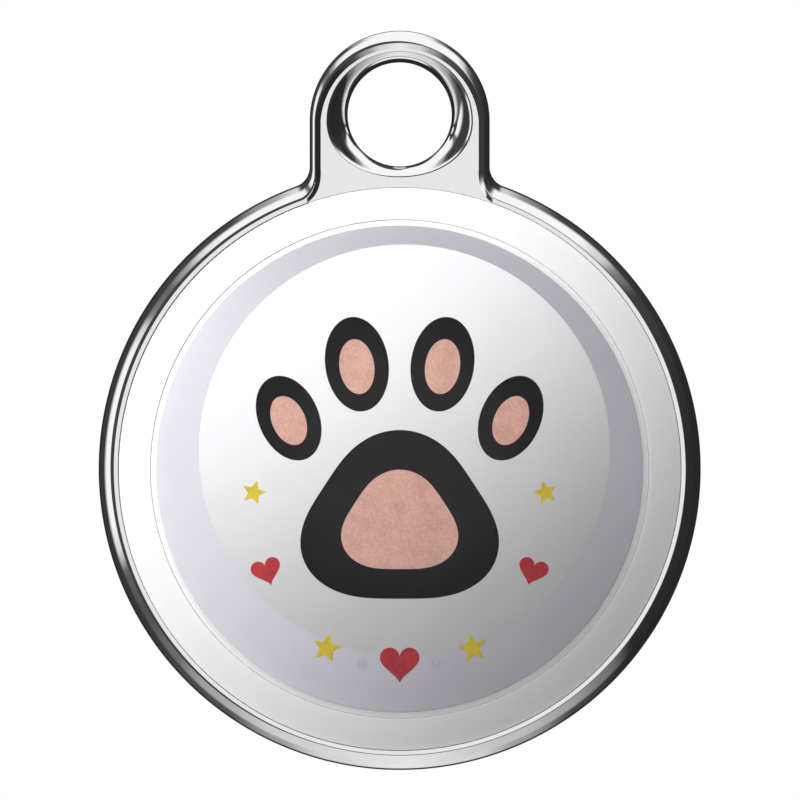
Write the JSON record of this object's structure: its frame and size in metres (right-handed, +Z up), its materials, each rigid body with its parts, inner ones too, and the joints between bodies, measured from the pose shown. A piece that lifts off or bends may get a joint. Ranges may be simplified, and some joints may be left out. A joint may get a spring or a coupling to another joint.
{
  "type": "pet tracker tag",
  "caption": "Round chrome-framed pet tracker tag with a collar loop, a printed press face under a clear dome and a twist-off battery cover.",
  "frame": {"origin": "middle of the loop's hole, half way through the loop's thickness", "axes": "+Z up through the loop as the tag hangs, +Y out of the back cover, so the printed face looks along -Y, +X to the right as seen from the front"},
  "size_m": [0.038, 0.0089, 0.0466],
  "materials": {
    "chrome": "polished and plated",
    "white_plastic": "glossy, moulded",
    "clear_plastic": "clear, polished dome",
    "printed_film": "printed, pale lilac",
    "black_rubber": "soft silicone",
    "grey_plastic": "fine spark texture",
    "black_plastic": "satin",
    "circuit_board": "solder mask over glass fibre",
    "copper": "plated, satin",
    "brass": "rolled sheet",
    "nickel": "nickel plate, satin",
    "steel": "brushed stainless",
    "ceramic": "silvered piezo ceramic",
    "foam": "dense foam"
  },
  "bodies": {
    "body": {"bezel_frame": "chrome", "face_ring": "white_plastic", "face_seal": "black_rubber", "chassis": "grey_plastic", "antenna_strip": "copper", "main_board": "circuit_board", "radio_chip": "black_plastic", "clock_crystal": "nickel", "power_chip": "black_plastic", "switch_case": "black_plastic", "buzzer_plate": "brass", "buzzer_ceramic": "ceramic", "buzzer_plate_lead": "copper", "buzzer_ceramic_lead": "copper", "cell_can": "steel", "cell_cap": "nickel", "cell_gasket": "black_plastic", "negative_contact": "nickel", "positive_contact_1": "nickel", "positive_contact_2": "nickel", "rear_housing": "grey_plastic", "housing_screw_1": "steel", "housing_screw_2": "steel", "housing_screw_3": "steel"},
    "face": {"dome_lens": "clear_plastic", "print_disc": "printed_film", "press_plate": "white_plastic", "switch_plunger": "white_plastic"},
    "cover": {"back_cover": "steel", "cover_ring": "black_plastic", "cover_seal": "black_rubber", "cover_pad": "foam"}
  },
  "joints": [
    {"name": "face_press", "type": "slide", "parent": "body", "child": "face", "axis": [0, 1, 0], "range_m": [0, 0.00025], "stiffness_N_per_m": 6000},
    {"name": "cover_twist", "type": "hinge", "parent": "body", "child": "cover", "pos_m": [0, 0.006, -0.02233], "axis": [0, 1, 0], "range_deg": [0, 30]}
  ]
}
